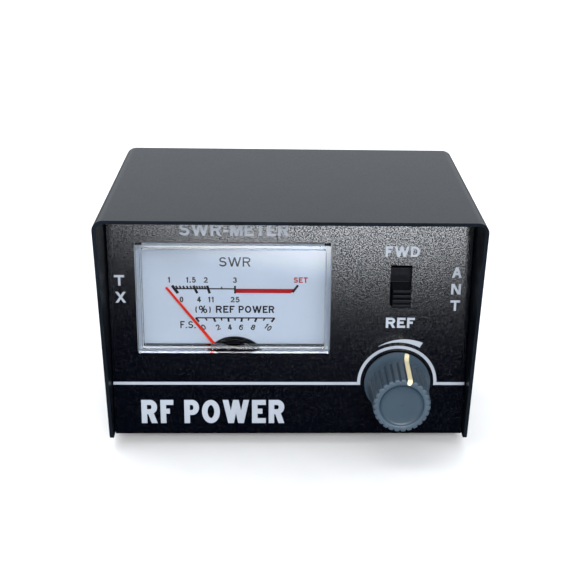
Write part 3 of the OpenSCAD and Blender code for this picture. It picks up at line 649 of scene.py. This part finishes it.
# Sizes in millimetres; heights are above the skirt's base, towards the front
FLUTES = 27
SKIRT_R, SKIRT_H = 9.15, 0.9
GRIP_R, GRIP_FOOT, GRIP_TAPER = 8.05, 3.6, 0.3
EDGE_ROUND = 0.45
SKIRT_TRIM = 0.06
NOTCH_DEPTH, NOTCH_SHARE, LOBE_DEPTH = 0.36, 0.36, 0.14
DISH_R, DISH_DEEP = 5.86, 0.9
POINTER_TURN = math.radians(15)


def knob_radius(h, top):
    """Radius of the knob's body at height h."""
    if h < SKIRT_H:
        return SKIRT_R
    if h < GRIP_FOOT:
        t = (h - SKIRT_H) / (GRIP_FOOT - SKIRT_H)
        return SKIRT_R - 1.05 * (1 - (1 - t) ** 2) - 0.05 * t
    taper = GRIP_R - GRIP_TAPER * (h - GRIP_FOOT) / (top - GRIP_FOOT)
    edge = top - EDGE_ROUND
    if h > edge:
        t = (h - edge) / EDGE_ROUND
        return taper - EDGE_ROUND * (1 - math.sqrt(max(0, 1 - t * t)))
    return taper


def knob_outside(top):
    """Rings of (radius, height) up the skirt and the fluted grip; the notches run in over the flare."""
    heights = [0, 0.06, 0.84, SKIRT_H] + [SKIRT_H + 0.3 * k for k in range(1, 9)]
    heights += [3.45 + 0.15 * k for k in range(8)] + [5 + 1.05 * k for k in range(9)]
    heights += [top - down for down in (EDGE_ROUND, 0.3, 0.18, 0.09, 0.03, 0)]
    around = FLUTES * 16
    rows = []
    for h in heights:
        start = max(0.0, min(1.0, (h - 3.3) / 0.9))
        depth = start * start * (3 - 2 * start)
        trim = SKIRT_TRIM if h in (0, SKIRT_H) else 0
        row = []
        for k in range(around):
            across = abs((k / 16) % 1 - 0.5) * 2
            notch = max(0.0, 1 - (across / NOTCH_SHARE) ** 2) ** 0.75
            cutting = depth * (NOTCH_DEPTH * notch + LOBE_DEPTH * (1 - across) ** 2)
            row.append((knob_radius(h, top) - trim - cutting, h))
        rows.append(row)
    return rows


def make_knob():
    """The fluted grip on its flared skirt, with a recess in its face and a hollow behind."""
    low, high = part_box("knob")
    base, top = high.y, (high.y - low.y) / MM
    rows = knob_outside(top)
    around = len(rows[0])
    dish = [(6.4, 0), (6.16, 0.07), (5.98, 0.22), (5.88, 0.45), (DISH_R, DISH_DEEP), (3.0, DISH_DEEP)]
    hollow = [(3.0, 3.9), (7.0, 3.9), (7.0, 0)]
    rows = [[ring] * around for ring in hollow] + rows + [[(r, top - deep)] * around for r, deep in dish]
    placed = [[(r * MM, base - h * MM) for r, h in row] for row in rows]
    mesh = mesh_from("knob_fluted", *rings(placed, (KNOB.x, KNOB.z), POINTER_TURN))
    knob = add_piece("knob_fluted", mesh, MATERIALS["knob_plastic"], "control", sharp=38)
    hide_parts("knob")
    make_pointer(base, top)


def pointer_path(top):
    """(height, radius) points up the skirt and grip, over the edge and in across the rim."""
    heights = [0.45, 0.7, 0.95, 1.3, 1.7, 2.1, 2.6, 3.1, GRIP_FOOT, 5, 7, 9, 11, 13]
    heights += [top - 0.5, top - 0.3, top - 0.1]
    rim = [(top, knob_radius(top, top) - 0.05), (top, 6.9), (top, 6.35)]
    return [(h, knob_radius(h, top)) for h in heights] + rim


def make_pointer(base, top):
    """The cream line painted from the skirt over the grip and onto the face's rim."""
    path = pointer_path(top)
    half_width, sunk = 0.66, -0.12
    # The line's cross-section: places across it, and how far its paint stands up there
    section = [(-1, 0.0), (-0.85, 0.06), (-0.4, 0.085), (0, 0.09), (0.4, 0.085), (0.85, 0.06), (1, 0.0)]
    n, m = len(path), len(section)
    verts = []
    for outer in (True, False):
        for i, (h, r) in enumerate(path):
            before, after = path[max(0, i - 1)], path[min(n - 1, i + 1)]
            along = Vector((after[0] - before[0], after[1] - before[1])).normalized()
            out = Vector((-along.y, along.x))
            half = half_width * (0.6 if i in (0, n - 1) else 1)
            for s, up in section:
                rise = up if outer else sunk
                rr, hh = r + out.y * rise, h + out.x * rise
                a = s * half / max(rr, 1) + POINTER_TURN
                verts.append((KNOB.x + rr * MM * math.sin(a), base - hh * MM, KNOB.z + rr * MM * math.cos(a)))
    faces = []
    under = n * m
    for o in (0, under):
        for i in range(n - 1):
            for j in range(m - 1):
                a, b = o + i * m + j, o + (i + 1) * m + j
                faces.append((a, a + 1, b + 1, b))
    for i in range(n - 1):
        for j in (0, m - 1):
            a, b = i * m + j, (i + 1) * m + j
            faces.append((a, b, under + b, under + a))
    for j in range(m - 1):
        for i in (0, n - 1):
            a = i * m + j
            faces.append((a, a + 1, under + a + 1, under + a))
    piece = add_piece("pointer_line", mesh_from("pointer_line", verts, faces),
                      MATERIALS["pointer_cream"], "control")
    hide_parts("knob_pointer")


def make_knob_face():
    """The disc in the knob's recess, its face slightly dished."""
    low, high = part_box("knob_cap")
    front, back = low.y, high.y
    reach, inner = DISH_R * MM, 0.02
    dish = [(1, -0.15), (0.985, -0.03), (0.965, 0.07), (0.94, 0.15), (0.9, 0.22), (0.85, 0.25),
            (0.6, 0.24), (0.3, 0.22), (inner, 0.21)]
    profile = [(reach, back)] + [(reach * t, front + deep * MM) for t, deep in dish]
    profile.append((reach * inner, back))
    mesh = mesh_from("knob_face", *rings([[point] * 96 for point in profile], (KNOB.x, KNOB.z)))
    piece = add_piece("knob_face", mesh, MATERIALS["knob_face"], "control")
    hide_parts("knob_cap")


# ---- sockets ----

# Sizes in metres: the flange, the shell's bores and neck, and the thread
FLANGE_T, FLANGE_HALF, FLANGE_CORNER = 1.6 * MM, 12.7 * MM, 1.5 * MM
BORE_R, BORE_DEEP, INSULATOR_R = 6.1 * MM, 6.5 * MM, 5.2 * MM
NECK_R, NECK_LONG = 6.6 * MM, 3 * MM
THREAD_PITCH, THREAD_DEPTH = 1.058 * MM, 0.55 * MM
ROOT = 0.5 * MM


def thread(r, start, end, segments):
    """The rows of a screw thread along y, running out at both ends."""
    per_turn = 8
    count = int((end - start) / THREAD_PITCH * per_turn)
    rows = []
    for j in range(count + 1):
        y = start + (end - start) * j / count
        run_out = min(1, (y - start) / THREAD_PITCH, (end - y) / THREAD_PITCH)
        crests = [abs(2 * ((j / per_turn - k / segments) % 1) - 1) for k in range(segments)]
        rows.append([(r - THREAD_DEPTH * (1 - run_out * c), y) for c in crests])
    return rows


def barrel_rings(r, front, segments):
    """A socket's shell: the threaded barrel, its stepped bore and the neck through the wall."""
    back, lip = WALL_Y + FLANGE_T, 0.3 * MM
    bore_end, neck_end, behind = front - BORE_DEEP, WALL_Y - NECK_LONG, WALL_Y + 0.2 * MM
    plain = [(r - 0.75 * MM, front), (BORE_R + lip, front), (BORE_R, front - lip), (BORE_R, bore_end),
             (INSULATOR_R, bore_end), (INSULATOR_R, neck_end), (NECK_R, neck_end), (NECK_R, behind),
             (r - ROOT, behind)]
    rows = [[(r - ROOT, back)] * segments] + thread(r, back, front - 0.4 * MM, segments)
    return rows + [[point] * segments for point in plain]


def make_sockets():
    """Nickel-plated shells with a real helical thread on the barrel, on square flanges."""
    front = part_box("socket_shells")[1].y
    parts = []
    for name in SOCKETS:
        x, _, z = mounts[name]["pos_m"]
        parts.append(rings(barrel_rings(mounts[name]["dims"]["r_mm"] * MM, front, 72), (x, z)))
    barrels = add_piece("socket_barrels", mesh_from("socket_barrels", *joined(parts)),
                        MATERIALS["nickel_plate"], "housing", sharp=60)
    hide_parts("socket_shells")
    make_flanges()


def flat_plate(name, outlines, y, thick, bevel):
    """A plate in the x-z plane from closed outlines; later outlines are holes."""
    curve = bpy.data.curves.new(name, "CURVE")
    curve.dimensions = "2D"
    curve.fill_mode = "BOTH"
    curve.extrude = thick / 2 - bevel
    curve.bevel_depth = bevel
    curve.offset = -bevel
    curve.bevel_resolution = 2
    for outline in outlines:
        spline = curve.splines.new("POLY")
        spline.points.add(len(outline) - 1)
        for point, (x, z) in zip(spline.points, outline):
            point.co = (x, z, 0, 1)
        spline.use_cyclic_u = True
    holder = bpy.data.objects.new(name, curve)
    bpy.context.scene.collection.objects.link(holder)
    bpy.context.view_layer.update()
    mesh = bpy.data.meshes.new_from_object(holder.evaluated_get(bpy.context.evaluated_depsgraph_get()))
    bpy.data.objects.remove(holder)
    mesh.transform(Matrix(((1, 0, 0, 0), (0, 0, -1, y + thick / 2), (0, 1, 0, 0), (0, 0, 0, 1))))
    return mesh


def circle(x, z, r, steps=40):
    """Points of a circle, clockwise from the top."""
    return [(x + r * math.sin(2 * math.pi * k / steps), z + r * math.cos(2 * math.pi * k / steps))
            for k in range(steps)]


def rounded_square(x, z, half, r, steps=8):
    """Points of a square with round corners."""
    points = []
    for sx, sz, start in ((1, 1, 0), (1, -1, 90), (-1, -1, 180), (-1, 1, 270)):
        for k in range(steps + 1):
            a = math.radians(start + 90 * k / steps)
            points.append((x + sx * (half - r) + r * math.sin(a), z + sz * (half - r) + r * math.cos(a)))
    return points


def make_flanges():
    """A square plate with four screw holes behind each barrel."""
    reach, barrel_hole, screw_hole, bevel = 9.1 * MM, 7.3 * MM, 1.6 * MM, 0.2 * MM
    for name in SOCKETS:
        x, _, z = mounts[name]["pos_m"]
        outlines = [rounded_square(x, z, FLANGE_HALF, FLANGE_CORNER), circle(x, z, barrel_hole, 64)]
        outlines += [circle(x + sx * reach, z + sz * reach, screw_hole) for sx in (-1, 1) for sz in (-1, 1)]
        mesh = flat_plate(name + "_flange", outlines, WALL_Y, FLANGE_T, bevel)
        add_piece(name + "_flange", mesh, MATERIALS["nickel_plate"], "housing", sharp=40)


def rear_print():
    """Legends above the sockets on the rear wall."""
    y = WALL_Y + INK
    parts = []
    for name, words in zip(SOCKETS, ("TX", "ANT")):
        x, _, z = mounts[name]["pos_m"]
        half = 1.7 * len(words) * MM
        parts.append(text(words, (x - half, z + 15 * MM, x + half, z + 18.2 * MM), y, 0.6 * MM, facing=-1))
    printed("rear_print", parts, PRINT_WHITE)


# ---- everything together ----

# Width of the rounded edge on each CAD node that shows, in millimetres
ROUNDED = {
    "cover": 0.22, "chassis": 0.18, "cover_screws": 0.15, "rubber_feet": 0.3,
    "foot_screws": 0.12, "foot_nuts": 0.12, "meter_window": 0.18, "meter_dial": 0.05,
    "front_bridge": 0.1, "needle": 0.04, "switch_slider": 0.16, "switch_frame": 0.1,
    "pot_nut": 0.15, "socket_insulators": 0.2, "socket_contacts": 0.12, "socket_screws": 0.15,
}

place_camera()
make_stage()
for node, obj in frame["nodes"].items():
    obj.data.materials.clear()
    obj.data.materials.append(MATERIALS[node_slot[node]])
for node, width in ROUNDED.items():
    soften(node, width)
panel_print()
dial_print()
make_knob()
make_knob_face()
make_sockets()
rear_print()
